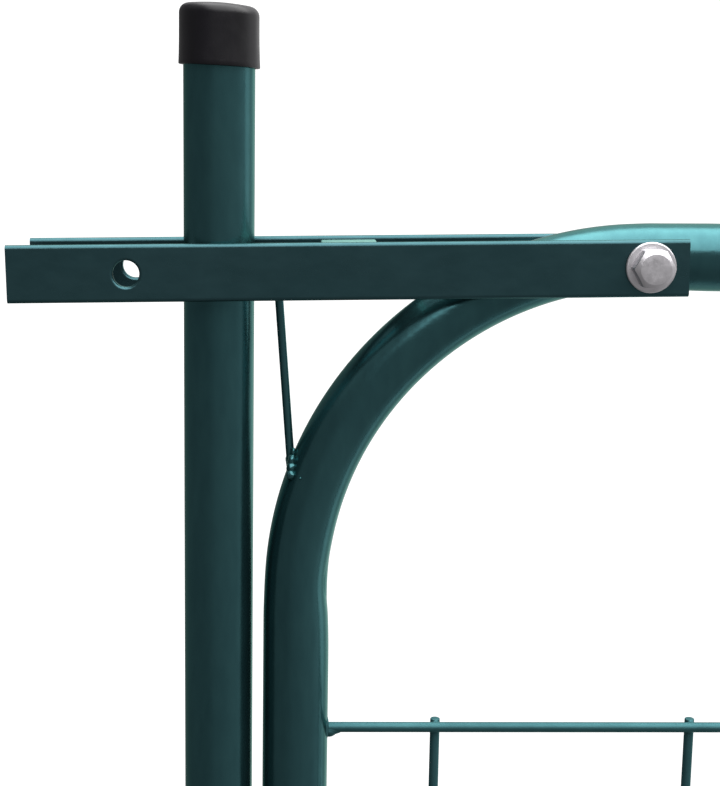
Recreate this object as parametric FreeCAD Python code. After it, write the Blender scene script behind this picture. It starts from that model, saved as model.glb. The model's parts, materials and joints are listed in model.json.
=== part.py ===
"""Arched garden mesh gate between two capped posts, with a throw-over loop latch.

Millimetres. +X runs from the latch post to the hinge post, +Y to the back, +Z up.
The origin is the middle of the latch post's foot, on the ground.
"""

import FreeCAD
import Part

import math
import os

# Posts
POST_OD = 41.3
POST_WALL = 2.0
POST_ABOVE_RAIL = 138.5      # top of the post tube above the top rail's axis
LATCH_GAP = 6.35             # clear gap between latch post and leaf

# Post caps
CAP_WALL = 2.65
CAP_HEIGHT = 36.5
CAP_TOP = 3.0                # thickness over the end of the post
CAP_CROWN = 1.2              # rise of the domed top
CAP_EDGE_R = 5.5
CAP_TAPER = 0.5              # the cap narrows by this radius towards its top
CAP_TO_BAR = 0.7             # least clear gap to the latch bars as they swing past

# Base plates
PLATE_SIDE = 120.0
PLATE_THICK = 8.0
PLATE_CORNER_R = 10.0
PLATE_HOLE_SPACING = 90.0
PLATE_HOLE_R = 6.0

# Leaf frame
TUBE_OD = 40.0
TUBE_WALL = 1.5
RAIL_HEIGHT = 1500.0         # top rail's axis above the ground
BEND_R = 205.0               # corner bends, to the tube's axis
BOTTOM_RAIL_HEIGHT = 85.0
STILE_FOOT = 60.0            # lower end of the stiles above the ground
PLUG_LIP = 3.0
PLUG_DEPTH = 18.0
PLUG_EDGE_R = 1.0

# Wire mesh
ROW_WIRE_D = 6.3
UPRIGHT_WIRE_D = 6.0
UPRIGHT_COUNT = 6
UPRIGHT_PITCH = 160.0
SIDE_CELL = 87.0             # stile axis to the first upright wire
ROW_COUNT = 8
TOP_ROW_BELOW_BEND = 88.0    # start of the bends down to the first row
LOWEST_ROW_ABOVE_RAIL = 72.0 # lowest row's axis above the bottom rail's axis
UPRIGHT_OVERSHOOT = 3.4      # cut end above the first row's axis

# Hinges
UPPER_HINGE_DROP = 115.0     # below the start of the bend
LOWER_HINGE_HEIGHT = 240.0
PIN_R = 6.0
ELBOW_R = 9.0                # the pintle's bend, to its axis
PINTLE_CHAMFER = 1.2
COLLAR_RIM = 4.0             # collar past the pin
COLLAR_THICK = 3.0
EYE_WALL = 4.0
EYE_TO_STILE = 6.0           # clear gap, bridged by the tab
EYE_HEIGHT = 40.0
EYE_SEAT_GAP = 0.3
EYE_PLAY = 0.08              # radial running clearance on the pin
PIN_ABOVE_EYE = 5.0
TAB_THICK = 6.0
TAB_INSET = 4.0
HINGE_NUT_HEIGHT = 10.0
HINGE_WASHER_THICK = 2.5
PINTLE_TAIL = 5.0            # thread past the outer nut
SHANK_CLEAR = 3.5            # straight shank between the inner nut and the elbow

# Latch
BAR_HEIGHT = 33.0
BAR_THICK = 5.0
BAR_EDGE_R = 2.4
BAR_PAST_POST = 97.85         # free end past the latch post
BACK_BAR_SHORT = 5.0         # the back bar ends this much sooner
BAR_HEEL = 22.5              # pivot to the short end
BAR_SET_DOWN = 0.8           # bar's middle line below the pivot
BAR_TO_RAIL = 2.0            # least clear gap to the top rail, filled by the pivot's sleeves
LATCH_TILT = 1.28            # degrees that the free end hangs down at rest
PADLOCK_HOLE_R = 7.5
PADLOCK_HOLE_PAST_POST = 30.65
PADLOCK_HOLE_DROP = 0.1
HOLE_EDGE_R = 1.8
SPACER_LENGTH = 33.0
SPACER_THICK = 5.0
SPACER_EDGE_R = 1.0
SPACER_FROM_POST = 55.55      # latch post to the middle of the spacer

# Pivot
PIVOT_INTO_RAIL = 4.5        # short of the bend's end, towards the latch post
PIVOT_DROP = 3.7             # below the top rail's axis
BOLT_R = 7.0
BOLT_PLAY = 0.08             # radial running clearance in the bars
FACE_PLAY = 0.3              # between the bars and what they turn against
FLANGE_R = 14.6
FLANGE_EDGE = 1.6
FLANGE_RISE = 1.6
FLANGE_EDGE_R = 0.5
HEAD_AF = 21.0
HEAD_HEIGHT = 14.0
HEAD_TOP_R = 8.6
PIVOT_COLLAR_R = 12.0
PIVOT_WASHER_R = 14.0
PIVOT_WASHER_THICK = 2.5
PIVOT_NUT_HEIGHT = 13.0
BOLT_TAIL = 4.0
BOLT_CHAMFER = 1.2
CORNER_SLOPE = 30.0          # degrees, the turned corners of nuts and of the bolt's head
NUT_TOP_SHARE = 0.95         # turned circle on a nut's face, as a share of its width

# Latch rest rod
ROD_D = 5.0
ROD_FOOT_ANGLE = 18.6        # degrees up the bend's outside, from its level radius
ROD_LEAN = 4.45               # degrees from upright, towards the latch post
ROD_ELBOW_R = 9.0
ROD_SPACER_GAP = 0.3
ROD_PAST_SPACER_MIDDLE = 10.0

# Places that follow from the sizes above
POST_R = POST_OD / 2
TUBE_R = TUBE_OD / 2
POST_TOP = RAIL_HEIGHT + POST_ABOVE_RAIL
LATCH_STILE_X = POST_R + LATCH_GAP + TUBE_R
LEAF_WIDTH = 2 * SIDE_CELL + (UPRIGHT_COUNT - 1) * UPRIGHT_PITCH
HINGE_STILE_X = LATCH_STILE_X + LEAF_WIDTH
BEND_CENTRE_Z = RAIL_HEIGHT - BEND_R
TOP_ROW_HEIGHT = BEND_CENTRE_Z - TOP_ROW_BELOW_BEND
LOWEST_ROW_HEIGHT = BOTTOM_RAIL_HEIGHT + LOWEST_ROW_ABOVE_RAIL
ROW_PITCH = (TOP_ROW_HEIGHT - LOWEST_ROW_HEIGHT) / (ROW_COUNT - 1)
EYE_R = PIN_R + EYE_WALL
COLLAR_R = PIN_R + COLLAR_RIM
HINGE_NUT_AF = 3 * PIN_R
HINGE_WASHER_R = 2 * PIN_R
HINGE_X = HINGE_STILE_X + TUBE_R + EYE_TO_STILE + EYE_R
HINGE_POST_X = HINGE_X + ELBOW_R + SHANK_CLEAR + HINGE_NUT_HEIGHT + HINGE_WASHER_THICK + POST_R
UPPER_HINGE_HEIGHT = BEND_CENTRE_Z - UPPER_HINGE_DROP
UPRIGHT_Y = (ROW_WIRE_D + UPRIGHT_WIRE_D) / 2
PIVOT_X = LATCH_STILE_X + BEND_R - PIVOT_INTO_RAIL
PIVOT_Z = RAIL_HEIGHT - PIVOT_DROP
BAR_REACH = PIVOT_X + POST_R + BAR_PAST_POST
PADLOCK_HOLE_REACH = PIVOT_X + POST_R + PADLOCK_HOLE_PAST_POST
SPACER_REACH = PIVOT_X - POST_R - SPACER_FROM_POST
BAR_INNER_Y = max(POST_R + CAP_WALL + CAP_TO_BAR, TUBE_R + BAR_TO_RAIL)
BAR_OUTER_Y = BAR_INNER_Y + BAR_THICK
BAR_MIDDLE_Z = PIVOT_Z - BAR_SET_DOWN
BAR_TOP_Z = BAR_MIDDLE_Z + BAR_HEIGHT / 2
ROD_R = ROD_D / 2
DIR_X = FreeCAD.Vector(1, 0, 0)
DIR_Y = FreeCAD.Vector(0, 1, 0)
DIR_Z = FreeCAD.Vector(0, 0, 1)


def vec(x, y, z):
    return FreeCAD.Vector(x, y, z)


def rod(start, end, radius):
    """A solid round bar from start to end."""
    along = end - start
    return Part.makeCylinder(radius, along.Length, start, along)


def ring(start, end, outer_r, inner_r):
    """A round tube or washer from start to end."""
    return rod(start, end, outer_r).cut(rod(start, end, inner_r))


def hexagon(centre, across_flats, height, top_r, direction):
    """A hexagonal prism standing on centre, its corners turned off down to top_r at the far end."""
    corner_r = across_flats / math.sqrt(3)
    corners = [
        vec(corner_r * math.cos(math.radians(60 * k)), corner_r * math.sin(math.radians(60 * k)), 0)
        for k in range(7)
    ]
    prism = Part.Face(Part.makePolygon(corners)).extrude(vec(0, 0, height))
    slope_height = (corner_r - top_r) * math.tan(math.radians(CORNER_SLOPE))
    blank = Part.makeCylinder(corner_r, height - slope_height)
    slope = Part.makeCone(corner_r, top_r, slope_height, vec(0, 0, height - slope_height))
    prism = prism.common(blank.fuse(slope))
    prism.Placement = FreeCAD.Placement(centre, FreeCAD.Rotation(DIR_Z, direction))
    return prism


def swept(path_edges, radius, start, direction):
    """A round solid swept along edges that run into each other."""
    path = Part.Wire(path_edges)
    section = Part.Wire(Part.Circle(start, direction, radius).toShape())
    sweep = Part.BRepOffsetAPI.MakePipeShell(path)
    sweep.add(section)
    sweep.build()
    sweep.makeSolid()
    return sweep.shape()


# ---- posts ----


def post(x):
    return ring(vec(x, 0, PLATE_THICK), vec(x, 0, POST_TOP), POST_R, POST_R - POST_WALL)


def post_cap(x):
    """A push-on cap: slightly tapered skirt, rounded shoulder and a low domed top."""
    outer_r = POST_R + CAP_WALL
    top_r = outer_r - CAP_TAPER
    seat_z = POST_TOP
    foot_z = seat_z + CAP_TOP - CAP_HEIGHT
    shoulder_z = seat_z + CAP_TOP - CAP_CROWN - CAP_EDGE_R
    turn = CAP_EDGE_R * (1 - math.sqrt(0.5))
    shoulder = Part.Arc(
        vec(top_r, 0, shoulder_z),
        vec(top_r - turn, 0, shoulder_z + CAP_EDGE_R - turn),
        vec(top_r - CAP_EDGE_R, 0, shoulder_z + CAP_EDGE_R),
    )
    dome_foot_r = top_r - CAP_EDGE_R
    dome_foot_z = shoulder_z + CAP_EDGE_R
    ball_r = (dome_foot_r**2 + CAP_CROWN**2) / (2 * CAP_CROWN)
    half_angle = math.asin(dome_foot_r / ball_r) / 2
    ball_z = dome_foot_z + CAP_CROWN - ball_r
    dome = Part.Arc(
        vec(dome_foot_r, 0, dome_foot_z),
        vec(ball_r * math.sin(half_angle), 0, ball_z + ball_r * math.cos(half_angle)),
        vec(0, 0, dome_foot_z + CAP_CROWN),
    )
    corners = [
        vec(0, 0, dome_foot_z + CAP_CROWN),
        vec(0, 0, seat_z),
        vec(POST_R, 0, seat_z),
        vec(POST_R, 0, foot_z),
        vec(outer_r, 0, foot_z),
        vec(top_r, 0, shoulder_z),
    ]
    outline = Part.Wire([*Part.makePolygon(corners).Edges, shoulder.toShape(), dome.toShape()])
    cap = Part.Face(outline).revolve(vec(0, 0, 0), DIR_Z, 360)
    cap.translate(vec(x, 0, 0))
    return cap


def base_plate(x):
    """A square plate with rounded corners and four anchor holes."""
    corner = vec(x - PLATE_SIDE / 2, -PLATE_SIDE / 2, 0)
    plate = Part.makeBox(PLATE_SIDE, PLATE_SIDE, PLATE_THICK, corner)
    upright = [e for e in plate.Edges if abs(e.tangentAt(e.FirstParameter).z) > 0.9]
    plate = plate.makeFillet(PLATE_CORNER_R, upright)
    half = PLATE_HOLE_SPACING / 2
    for side_x in (-half, half):
        for side_y in (-half, half):
            plate = plate.cut(Part.makeCylinder(PLATE_HOLE_R, PLATE_THICK, vec(x + side_x, side_y, 0)))
    return plate


# ---- hinges ----


def pintle_shank_end():
    return POST_R + HINGE_WASHER_THICK + HINGE_NUT_HEIGHT + PINTLE_TAIL


def eye_foot(height):
    """The eye's lower end, just above the pintle's collar."""
    return height + ELBOW_R + COLLAR_THICK + EYE_SEAT_GAP


def pintle(height):
    """A hinge hook: a threaded shank through the post, bent up into a pin with a collar."""
    shank_end = vec(HINGE_POST_X + pintle_shank_end(), 0, height)
    bend_start = vec(HINGE_X + ELBOW_R, 0, height)
    bend_end = vec(HINGE_X, 0, height + ELBOW_R)
    inset = ELBOW_R * (1 - math.sqrt(0.5))
    bend_middle = vec(HINGE_X + inset, 0, height + inset)
    pin_top = vec(HINGE_X, 0, eye_foot(height) + EYE_HEIGHT + PIN_ABOVE_EYE)
    path = [
        Part.LineSegment(shank_end, bend_start).toShape(),
        Part.Arc(bend_start, bend_middle, bend_end).toShape(),
        Part.LineSegment(bend_end, pin_top).toShape(),
    ]
    hook = swept(path, PIN_R, shank_end, -DIR_X)
    ends = [
        e
        for e in hook.Edges
        if e.BoundBox.ZMin > pin_top.z - 1 or e.BoundBox.XMin > shank_end.x - 1
    ]
    hook = hook.makeChamfer(PINTLE_CHAMFER, ends)
    return hook.fuse(rod(bend_end, bend_end + vec(0, 0, COLLAR_THICK), COLLAR_R))


def post_with_hinge_holes(heights):
    body = post(HINGE_POST_X)
    for height in heights:
        across = vec(POST_OD, 0, 0)
        middle = vec(HINGE_POST_X, 0, height)
        body = body.cut(rod(middle - across, middle + across, PIN_R))
    return body


def hinge_washer(height, side):
    """A washer against the post, cut to the post's curve; side is -1 towards the leaf, 1 away."""
    start = vec(HINGE_POST_X, 0, height)
    face = start + vec(side * (POST_R + HINGE_WASHER_THICK), 0, 0)
    washer = ring(start, face, HINGE_WASHER_R, PIN_R)
    return washer.cut(Part.makeCylinder(POST_R, POST_TOP, vec(HINGE_POST_X, 0, 0)))


def hinge_nut(height, side):
    seat = vec(HINGE_POST_X + side * (POST_R + HINGE_WASHER_THICK), 0, height)
    outward = DIR_X * side
    nut = hexagon(seat, HINGE_NUT_AF, HINGE_NUT_HEIGHT, NUT_TOP_SHARE * HINGE_NUT_AF / 2, outward)
    return nut.cut(rod(seat, seat + outward * HINGE_NUT_HEIGHT, PIN_R))


def hinge_eye(height):
    """A sleeve that turns on the pin, with the tab that joins it to the stile."""
    foot_z = eye_foot(height)
    foot = vec(HINGE_X, 0, foot_z)
    top = vec(HINGE_X, 0, foot_z + EYE_HEIGHT)
    tab_corner = vec(HINGE_STILE_X, -TAB_THICK / 2, foot_z + TAB_INSET)
    tab = Part.makeBox(HINGE_X - HINGE_STILE_X, TAB_THICK, EYE_HEIGHT - 2 * TAB_INSET, tab_corner)
    tab = tab.cut(Part.makeCylinder(TUBE_R, POST_TOP, vec(HINGE_STILE_X, 0, 0)))
    eye = rod(foot, top, EYE_R).fuse(tab)
    return eye.cut(rod(foot, top, PIN_R + EYE_PLAY)).removeSplitter()


# ---- leaf ----


def hoop_path():
    """The arch's middle line: up the latch stile, over the two bends and down the hinge stile."""
    left, right = LATCH_STILE_X, HINGE_STILE_X
    turn = BEND_R * (1 - math.sqrt(0.5))
    low_left, low_right = vec(left, 0, STILE_FOOT), vec(right, 0, STILE_FOOT)
    side_left, side_right = vec(left, 0, BEND_CENTRE_Z), vec(right, 0, BEND_CENTRE_Z)
    top_left = vec(left + BEND_R, 0, RAIL_HEIGHT)
    top_right = vec(right - BEND_R, 0, RAIL_HEIGHT)
    mid_left = vec(left + turn, 0, RAIL_HEIGHT - turn)
    mid_right = vec(right - turn, 0, RAIL_HEIGHT - turn)
    return [
        Part.LineSegment(low_left, side_left).toShape(),
        Part.Arc(side_left, mid_left, top_left).toShape(),
        Part.LineSegment(top_left, top_right).toShape(),
        Part.Arc(top_right, mid_right, side_right).toShape(),
        Part.LineSegment(side_right, low_right).toShape(),
    ]


def hoop_solid(radius):
    return swept(hoop_path(), radius, vec(LATCH_STILE_X, 0, STILE_FOOT), DIR_Z)


def arch_hoop():
    hoop = hoop_solid(TUBE_R).cut(hoop_solid(TUBE_R - TUBE_WALL))
    pivot = vec(PIVOT_X, 0, PIVOT_Z)
    return hoop.cut(rod(pivot - DIR_Y * TUBE_OD, pivot + DIR_Y * TUBE_OD, BOLT_R))


def stile_rod(x):
    return Part.makeCylinder(TUBE_R, RAIL_HEIGHT, vec(x, 0, 0))


def between_stiles(shape):
    """Cuts a cross piece's ends to the curve of the two stiles."""
    return shape.cut(stile_rod(LATCH_STILE_X)).cut(stile_rod(HINGE_STILE_X))


def bottom_rail_rod(radius):
    left = vec(LATCH_STILE_X, 0, BOTTOM_RAIL_HEIGHT)
    return rod(left, vec(HINGE_STILE_X, 0, BOTTOM_RAIL_HEIGHT), radius)


def bottom_rail():
    return between_stiles(bottom_rail_rod(TUBE_R).cut(bottom_rail_rod(TUBE_R - TUBE_WALL)))


def stile_end_plug(x):
    lip = Part.makeCylinder(TUBE_R, PLUG_LIP, vec(x, 0, STILE_FOOT - PLUG_LIP))
    lip = lip.makeFillet(PLUG_EDGE_R, [e for e in lip.Edges if e.BoundBox.ZMax < STILE_FOOT - 1])
    spigot = Part.makeCylinder(TUBE_R - TUBE_WALL, PLUG_DEPTH, vec(x, 0, STILE_FOOT))
    return lip.fuse(spigot).removeSplitter()


def row_wire(index):
    height = TOP_ROW_HEIGHT - index * ROW_PITCH
    wire = rod(vec(LATCH_STILE_X, 0, height), vec(HINGE_STILE_X, 0, height), ROW_WIRE_D / 2)
    return between_stiles(wire)


def upright_wire(index):
    x = LATCH_STILE_X + SIDE_CELL + index * UPRIGHT_PITCH
    foot = vec(x, UPRIGHT_Y, BOTTOM_RAIL_HEIGHT)
    top = vec(x, UPRIGHT_Y, TOP_ROW_HEIGHT + UPRIGHT_OVERSHOOT)
    return rod(foot, top, UPRIGHT_WIRE_D / 2).cut(bottom_rail_rod(TUBE_R))


# ---- latch ----


def pivot_point(y):
    return vec(PIVOT_X, y, PIVOT_Z)


def tilted(shape):
    """Turns a latch piece, made level, to the tilt at which it rests."""
    turned = shape.copy()
    turned.rotate(pivot_point(0), DIR_Y, -LATCH_TILT)
    return turned


def tilted_point(reach, z):
    """The tilted place of a point that is reach short of the pivot and at height z."""
    tilt = math.radians(LATCH_TILT)
    rise = z - PIVOT_Z
    x = PIVOT_X - reach * math.cos(tilt) - rise * math.sin(tilt)
    return vec(x, 0, PIVOT_Z - reach * math.sin(tilt) + rise * math.cos(tilt))


def rounded_hole(bar, x, z, radius):
    """Bores a hole through a bar along Y and rounds its rims."""
    through = rod(vec(x, -BAR_OUTER_Y, z), vec(x, BAR_OUTER_Y, z), radius)
    bored = bar.cut(through)
    rims = [
        e
        for e in bored.Edges
        if isinstance(e.Curve, Part.Circle) and abs(e.Curve.Radius - radius) < 0.01
    ]
    return bored.makeFillet(HOLE_EDGE_R, rims)


def latch_bar(inner_y, outward, reach):
    """A flat bar with rounded long edges, a pivot hole and a padlock hole."""
    length = reach + BAR_HEEL
    front_y = min(inner_y, inner_y + outward * BAR_THICK)
    corner = vec(PIVOT_X - reach, front_y, BAR_TOP_Z - BAR_HEIGHT)
    bar = Part.makeBox(length, BAR_THICK, BAR_HEIGHT, corner)
    lengthwise = [e for e in bar.Edges if abs(e.tangentAt(e.FirstParameter).x) > 0.9]
    bar = bar.makeFillet(BAR_EDGE_R, lengthwise)
    bar = bar.cut(rod(pivot_point(-BAR_OUTER_Y), pivot_point(BAR_OUTER_Y), BOLT_R + BOLT_PLAY))
    hole_z = BAR_MIDDLE_Z - PADLOCK_HOLE_DROP
    return tilted(rounded_hole(bar, PIVOT_X - PADLOCK_HOLE_REACH, hole_z, PADLOCK_HOLE_R))


def latch_spacer():
    """The block between the bars; its ends meet the bars' inner faces."""
    left = PIVOT_X - SPACER_REACH - SPACER_LENGTH / 2
    corner = vec(left, -BAR_INNER_Y, BAR_TOP_Z - BAR_EDGE_R - SPACER_THICK)
    block = Part.makeBox(SPACER_LENGTH, 2 * BAR_INNER_Y, SPACER_THICK, corner)
    across = [e for e in block.Edges if abs(e.tangentAt(e.FirstParameter).y) > 0.9]
    return tilted(block.makeFillet(SPACER_EDGE_R, across))


def latch_rest_rod():
    """A round rod from the bend's outside, with an elbow and a finger under the spacer."""
    angle = math.radians(ROD_FOOT_ANGLE)
    lean = math.radians(ROD_LEAN)
    foot_r = BEND_R + TUBE_R - ROD_D
    bend_centre = vec(LATCH_STILE_X + BEND_R, 0, BEND_CENTRE_Z)
    foot = bend_centre + vec(-foot_r * math.cos(angle), 0, foot_r * math.sin(angle))
    up = vec(-math.sin(lean), 0, math.cos(lean))
    finger_z = BAR_TOP_Z - BAR_EDGE_R - SPACER_THICK - ROD_SPACER_GAP - ROD_R
    tip = tilted_point(SPACER_REACH - ROD_PAST_SPACER_MIDDLE, finger_z)
    back = (tilted_point(SPACER_REACH + SPACER_LENGTH, finger_z) - tip).normalize()
    # The corner is where the rising line meets the finger's line.
    cross = up.x * back.z - up.z * back.x
    climb = ((tip.x - foot.x) * back.z - (tip.z - foot.z) * back.x) / cross
    corner = foot + up * climb
    half_turn = math.acos(max(-1.0, min(1.0, -up.dot(back)))) / 2
    trim = ROD_ELBOW_R * math.tan(math.pi / 2 - half_turn)
    below = corner - up * trim
    beside = corner - back * trim
    to_centre = (below + beside) * 0.5 - corner
    centre = corner + to_centre.normalize() * (ROD_ELBOW_R / math.sin(half_turn))
    middle = centre - to_centre.normalize() * ROD_ELBOW_R
    path = [
        Part.LineSegment(foot, below).toShape(),
        Part.Arc(below, middle, beside).toShape(),
        Part.LineSegment(beside, tip).toShape(),
    ]
    return swept(path, ROD_R, foot, up).cut(hoop_solid(TUBE_R))


# ---- pivot ----


def pivot_bolt():
    """A flanged hexagon bolt through both bars and the rail, head to the front."""
    flange_y = -(BAR_OUTER_Y + FACE_PLAY)
    seat = pivot_point(flange_y)
    flange = rod(seat, pivot_point(flange_y - FLANGE_EDGE), FLANGE_R)
    dish = Part.makeCone(FLANGE_R, HEAD_AF / 2, FLANGE_RISE, pivot_point(flange_y - FLANGE_EDGE), -DIR_Y)
    rim = [e for e in flange.Edges if e.BoundBox.YMax < flange_y - 0.1]
    flange = flange.makeFillet(FLANGE_EDGE_R, rim)
    head = hexagon(seat, HEAD_AF, HEAD_HEIGHT, HEAD_TOP_R, -DIR_Y)
    tail_y = BAR_OUTER_Y + FACE_PLAY + PIVOT_WASHER_THICK + PIVOT_NUT_HEIGHT + BOLT_TAIL
    shank = rod(seat, pivot_point(tail_y), BOLT_R)
    shank = shank.makeChamfer(BOLT_CHAMFER, [e for e in shank.Edges if e.BoundBox.YMin > tail_y - 1])
    return shank.fuse([flange, dish, head]).removeSplitter()


def pivot_collar(side):
    """A distance sleeve between a bar and the rail, cut to the rail's curve; side is -1 in front."""
    start = pivot_point(0)
    end = pivot_point(side * (BAR_INNER_Y - FACE_PLAY))
    return ring(start, end, PIVOT_COLLAR_R, BOLT_R).cut(hoop_solid(TUBE_R))


def pivot_washer():
    seat_y = BAR_OUTER_Y + FACE_PLAY
    return ring(pivot_point(seat_y), pivot_point(seat_y + PIVOT_WASHER_THICK), PIVOT_WASHER_R, BOLT_R)


def pivot_lock_nut():
    seat = pivot_point(BAR_OUTER_Y + FACE_PLAY + PIVOT_WASHER_THICK)
    nut = hexagon(seat, HEAD_AF, PIVOT_NUT_HEIGHT, NUT_TOP_SHARE * HEAD_AF / 2, DIR_Y)
    return nut.cut(rod(seat, seat + DIR_Y * PIVOT_NUT_HEIGHT, BOLT_R))


# ---- writing ----


def nodes():
    heights = (UPPER_HINGE_HEIGHT, LOWER_HINGE_HEIGHT)
    sides = [(height, side) for height in heights for side in (-1, 1)]
    made = {
        "latch_post": post(0),
        "latch_post_cap": post_cap(0),
        "latch_base_plate": base_plate(0),
        "hinge_post": post_with_hinge_holes(heights),
        "hinge_post_cap": post_cap(HINGE_POST_X),
        "hinge_base_plate": base_plate(HINGE_POST_X),
        "upper_hinge_pintle": pintle(UPPER_HINGE_HEIGHT),
        "lower_hinge_pintle": pintle(LOWER_HINGE_HEIGHT),
        "hinge_washers": Part.makeCompound([hinge_washer(*s) for s in sides]),
        "hinge_nuts": Part.makeCompound([hinge_nut(*s) for s in sides]),
        "upper_hinge_eye": hinge_eye(UPPER_HINGE_HEIGHT),
        "lower_hinge_eye": hinge_eye(LOWER_HINGE_HEIGHT),
        "arch_hoop": arch_hoop(),
        "bottom_rail": bottom_rail(),
        "stile_end_plugs": Part.makeCompound(
            [stile_end_plug(LATCH_STILE_X), stile_end_plug(HINGE_STILE_X)]
        ),
        "latch_rest_rod": latch_rest_rod(),
        "pivot_bolt": pivot_bolt(),
        "pivot_front_collar": pivot_collar(-1),
        "pivot_back_collar": pivot_collar(1),
        "pivot_washer": pivot_washer(),
        "pivot_lock_nut": pivot_lock_nut(),
        "front_latch_bar": latch_bar(-BAR_INNER_Y, -1, BAR_REACH),
        "back_latch_bar": latch_bar(BAR_INNER_Y, 1, BAR_REACH - BACK_BAR_SHORT),
        "latch_spacer": latch_spacer(),
    }
    for index in range(ROW_COUNT):
        made[f"mesh_row_wire_{index + 1}"] = row_wire(index)
    for index in range(UPRIGHT_COUNT):
        made[f"mesh_upright_wire_{index + 1}"] = upright_wire(index)
    return made


def main():
    os.makedirs("parts", exist_ok=True)
    for name, shape in nodes().items():
        shape.exportStep(os.path.join("parts", name + ".step"))
        print(f"{name}: {len(shape.Solids)} solid(s), {shape.Volume:.0f} mm3, valid {shape.isValid()}")


main()
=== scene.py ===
"""Looks of the arched garden mesh gate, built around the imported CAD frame. Metres, +Z up."""

import json
import math

import bmesh
import bpy
from mathutils import Matrix, Vector, noise


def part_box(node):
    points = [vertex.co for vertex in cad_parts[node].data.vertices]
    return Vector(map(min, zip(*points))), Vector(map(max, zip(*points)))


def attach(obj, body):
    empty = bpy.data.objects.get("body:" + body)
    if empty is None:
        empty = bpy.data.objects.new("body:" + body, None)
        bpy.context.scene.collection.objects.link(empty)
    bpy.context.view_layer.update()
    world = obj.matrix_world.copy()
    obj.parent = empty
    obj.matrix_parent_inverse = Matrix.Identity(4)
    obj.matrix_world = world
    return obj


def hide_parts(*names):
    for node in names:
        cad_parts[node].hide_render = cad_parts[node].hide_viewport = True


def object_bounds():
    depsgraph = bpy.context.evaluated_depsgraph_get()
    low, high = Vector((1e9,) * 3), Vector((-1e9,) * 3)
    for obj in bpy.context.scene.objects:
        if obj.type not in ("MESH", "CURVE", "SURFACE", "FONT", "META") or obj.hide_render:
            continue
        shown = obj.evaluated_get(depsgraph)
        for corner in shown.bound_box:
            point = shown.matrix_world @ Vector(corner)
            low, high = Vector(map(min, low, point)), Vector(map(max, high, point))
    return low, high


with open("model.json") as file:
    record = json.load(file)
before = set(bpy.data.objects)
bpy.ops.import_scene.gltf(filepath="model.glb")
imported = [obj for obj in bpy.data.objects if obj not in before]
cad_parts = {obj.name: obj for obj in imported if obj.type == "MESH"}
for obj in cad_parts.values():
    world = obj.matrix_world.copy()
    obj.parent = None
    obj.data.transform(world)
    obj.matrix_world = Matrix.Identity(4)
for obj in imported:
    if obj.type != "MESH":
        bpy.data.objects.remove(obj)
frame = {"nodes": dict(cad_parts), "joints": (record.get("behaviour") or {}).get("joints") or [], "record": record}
cad_low, cad_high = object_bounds()

# ---- places read from the frame ----

MM = 0.001
X_AXIS = Vector((1, 0, 0))
Y_AXIS = Vector((0, 1, 0))
Z_AXIS = Vector((0, 0, 1))
POST_LOW, POST_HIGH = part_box("latch_post")
HINGE_POST_LOW, HINGE_POST_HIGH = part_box("hinge_post")
HOOP_LOW, HOOP_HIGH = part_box("arch_hoop")
BOTTOM_RAIL_LOW, BOTTOM_RAIL_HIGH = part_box("bottom_rail")
SPACER_LOW, SPACER_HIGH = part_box("latch_spacer")
EYE_LOW, EYE_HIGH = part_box("upper_hinge_eye")
ROD_LOW, ROD_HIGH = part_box("latch_rest_rod")
POST_R = (POST_HIGH.y - POST_LOW.y) / 2
TUBE_R = (HOOP_HIGH.y - HOOP_LOW.y) / 2
POST_X = (POST_LOW.x + POST_HIGH.x) / 2
HINGE_POST_X = (HINGE_POST_LOW.x + HINGE_POST_HIGH.x) / 2
LEFT_STILE_X = HOOP_LOW.x + TUBE_R
RIGHT_STILE_X = HOOP_HIGH.x - TUBE_R
RAIL_Z = HOOP_HIGH.z - TUBE_R
BOTTOM_RAIL_Z = (BOTTOM_RAIL_LOW.z + BOTTOM_RAIL_HIGH.z) / 2
JOINTS = {joint["name"]: joint for joint in frame["joints"]}
HINGE_X = JOINTS["gate_swing"]["pos_m"][0]
PIVOT = Vector(JOINTS["latch_lift"]["pos_m"])

# ---- sizes that the boxes don't give ----

POST_WALL = 2.0 * MM
TUBE_WALL = 1.5 * MM
BEND_R = 205 * MM
BEND_Z = RAIL_Z - BEND_R
LATCH_TILT = 1.28              # degrees that the latch's free end hangs down

# ---- colours, linear ----

COAT_LIGHT = (0.041, 0.117, 0.127)
COAT_DARK = (0.034, 0.099, 0.110)
BAR_LIGHT = (0.037, 0.088, 0.099)
BAR_DARK = (0.031, 0.077, 0.087)
# The spacer's two colours are a painted highlight: the same green coat as the bars, made pale to stand for the
# overhead light on its flat top.
SPACER_PAINTED_HIGHLIGHT_LIGHT = (0.19, 0.35, 0.32)
SPACER_PAINTED_HIGHLIGHT_DARK = (0.16, 0.31, 0.28)
COAT_EDGE = (0.60, 0.85, 0.76)  # tint of grazing reflections
PVC = (0.0022, 0.0019, 0.0030)
ZINC = (0.66, 0.64, 0.67)
COAT_METALLIC = 0.9
COAT_PEEL = 0.06 * MM           # depth of the orange peel
PVC_WAVES = 0.10 * MM           # depth of the moulding's unevenness
ZINC_GRAIN = 0.03 * MM          # depth of the plating's grain
PVC_SHEEN = 0.3                 # specular level of the black caps
SPACER_ROUGHNESS = 0.45


# ---- materials ----


def new_material(name):
    """A material, with its node tree and its principled shader."""
    made = bpy.data.materials.new(name)
    made.use_nodes = True
    tree = made.node_tree
    shader = next(n for n in tree.nodes if n.type == "BSDF_PRINCIPLED")
    return made, tree, shader


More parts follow.
